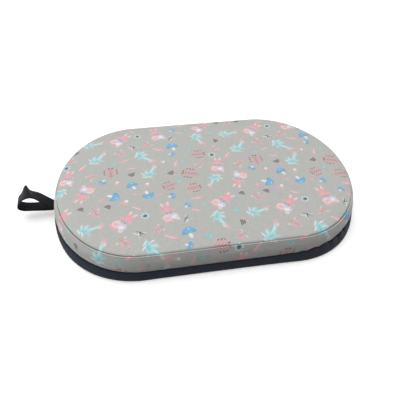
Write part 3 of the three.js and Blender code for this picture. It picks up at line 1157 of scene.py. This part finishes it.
def make_topstitching(material):
    """Stitches along the fold over the zip, and down the upright seam at each end of the rear band."""
    reach = STITCH_LENGTH / 2
    curve = [(t * reach, 0.3 * (1 - t * t) - 0.12) for t in np.linspace(-1, 1, 7)]
    across, across_faces = tube([(u, rise, 0) for u, rise in curve], 0.24)
    down, down_faces = tube([(0, rise, u) for u, rise in curve], 0.24)
    row = REAR_EDGE + 2.2
    depth = HALF_WIDTH - wall_row(row)[1]
    level = [(x, depth, row) for x in np.arange(4 - BAND_END, BAND_END - 3, STITCH_PITCH)]
    upright = [
        (side * (BAND_END + 4.2), HALF_WIDTH - wall_row(z)[1], z)
        for side in (-1, 1)
        for z in np.arange(HEM_HEIGHT + 4, SEAM_HEIGHT - 4, STITCH_PITCH)
    ]
    verts, faces = repeat_shape(across, across_faces, level)
    more, more_faces = repeat_shape(down, down_faces, upright)
    faces += [tuple(i + len(verts) for i in f) for f in more_faces]
    return make_piece("topstitching", np.vstack([verts, more]), faces, material)


def softened(name, node, radius, material):
    """A copy of a CAD node with its edges rounded."""
    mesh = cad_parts[node].data.copy()
    mesh.materials.clear()
    shape = bmesh.new()
    shape.from_mesh(mesh)
    bmesh.ops.remove_doubles(shape, verts=shape.verts, dist=0.01 * MM)
    bmesh.ops.dissolve_limit(shape, angle_limit=math.radians(1), verts=shape.verts, edges=shape.edges)
    shape.to_mesh(mesh)
    shape.free()
    piece = show_mesh(name, mesh, material)
    bevel = piece.modifiers.new("rounded_edges", "BEVEL")
    bevel.width = radius * MM
    bevel.segments = 3
    bevel.limit_method = "ANGLE"
    bevel.angle_limit = math.radians(40)
    return piece


def coil_material():
    """Smooth black plastic."""
    paint = Paint("zip_coil", 0.4)
    wear = paint.noise(paint.place(), 900, 3)
    paint.tint(wear, (26, 27, 31), (40, 41, 45))
    paint.emboss(wear, 0.05, 0.4)
    return paint.material


def zip_tape_material():
    paint = Paint("zip_tape", 0.8)
    x, _, z = paint.split(paint.place())
    height = paint.half(paint.times(paint.wave(z, 0.7 * MM), paint.wave(x, 0.5 * MM)))
    # painted shade: the tape is drawn darker in the low parts of its weave and lighter on the crowns
    paint.tint(height, (18, 19, 23), (40, 42, 48))
    paint.emboss(height, 0.12, 0.7)
    return paint.material


def thread_material(name, dark, light):
    """Twisted sewing thread."""
    paint = Paint(name, 0.6)
    x, y, z = paint.split(paint.place())
    twist = paint.math("ADD", paint.math("ADD", x, y), z)
    ply = paint.half(paint.wave(twist, 0.45 * MM))
    # painted shade: the thread is drawn lighter on the crowns of its plies and darker in the twist between
    # them
    paint.tint(ply, dark, light)
    paint.emboss(ply, 0.08, 0.8)
    paint.set(Sheen_Weight=0.2)
    return paint.material


def zip_metal_material():
    """Dark plated die-cast metal, brighter where handling has worn it."""
    paint = Paint("zip_metal", 0.34)
    place = paint.place()
    worn = paint.threshold(paint.noise(place, 260, 4), 0.52, 0.7)
    grain = paint.noise(place, 2400, 3)
    paint.tint(worn, (64, 66, 70), (126, 127, 130))
    paint.link("Roughness", paint.math("MULTIPLY_ADD", grain, 0.2, 0.24))
    paint.emboss(grain, 0.03, 0.5)
    paint.set(Metallic=0.9)
    return paint.material


# ---- pieces ----

PRINT = print_material()
BASE = base_material()
WEB = webbing_material()
METAL = zip_metal_material()


def place_piece(piece, body, nodes):
    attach(piece, body)
    if nodes:
        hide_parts(*nodes)


def dress(node, material):
    """Gives a CAD node that stays in view its finish."""
    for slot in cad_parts[node].material_slots:
        slot.material = material


def add_cover():
    panels = {
        "top_panel": (make_top_panel(PRINT), "print_cloth"),
        "side_band": (make_side_band(PRINT), "print_cloth"),
        "rear_band": (make_rear_band(PRINT), "print_cloth"),
        "base_panel": (make_base(BASE), "base_cloth"),
    }
    puff = simulate_cover()
    for node in ("top_panel", "side_band", "rear_band"):
        fill_out(panels[node][0], *puff)
    for node, (piece, slot) in panels.items():
        solidify = piece.modifiers.new("cloth_thickness", "SOLIDIFY")
        solidify.thickness = CLOTH_THICKNESS * MM
        solidify.offset = -1
        place_piece(piece, "cushion", [node])


def add_foam():
    split = box_mm("support_foam")[1].z
    support = [(0, 9, 2), (0, 6.4, 2.8), (0, 5.2, 5), (0, 4.8, 12), (0.4, 4.4, split - 1), (0.4, 5, split)]
    comfort = [(0.45, 5.2, split + 0.3), (0.45, 4.6, split + 1.2), (0.9, 4.2, 40)]
    comfort += [(1, 4.6, 42), (1, 6.2, 43.4), (1, 10, 44)]
    cream = foam_material("comfort_foam", (196, 184, 150), (233, 226, 204), 0.8)
    grey = foam_material("support_foam", (48, 50, 54), (84, 86, 92), 0.5)
    for name, rows, finish in (("comfort", comfort, cream), ("support", support, grey)):
        sheet = make_foam("foam_" + name, rows, finish)
        place_piece(sheet, "cushion", [name + "_foam"])


def add_zip():
    coil = coil_material()
    tape = zip_tape_material()
    for name, half in (("lower", -1), ("upper", 1)):
        teeth = make_teeth("zip_teeth_" + name, "zip_coil_" + name, half, coil)
        place_piece(teeth, "cushion", ["zip_coil_" + name])
        dress("zip_tape_" + name, tape)
    for name, node, body in (
        ("zip_stop_closed", "zip_closed_stop", "cushion"),
        ("zip_stop_open", "zip_open_stop", "cushion"),
        ("zip_slider_body", "zip_slider", "zip_slider"),
        ("zip_pull_tab", "zip_pull", "zip_pull"),
    ):
        place_piece(softened(name, node, 0.25, METAL), body, [node])


def add_sewing():
    grey = thread_material("grey_thread", (120, 119, 114), (186, 185, 178))
    black = thread_material("black_thread", (14, 15, 18), (40, 42, 47))
    dress("top_seam_thread", grey)
    dress("base_seam_thread", black)
    place_piece(make_topstitching(grey), "cushion", [])


add_cover()
add_foam()
add_zip()
add_sewing()
place_piece(make_loop(WEB), "hanging_loop", ["hanging_loop"])
dress("loop_tails", WEB)
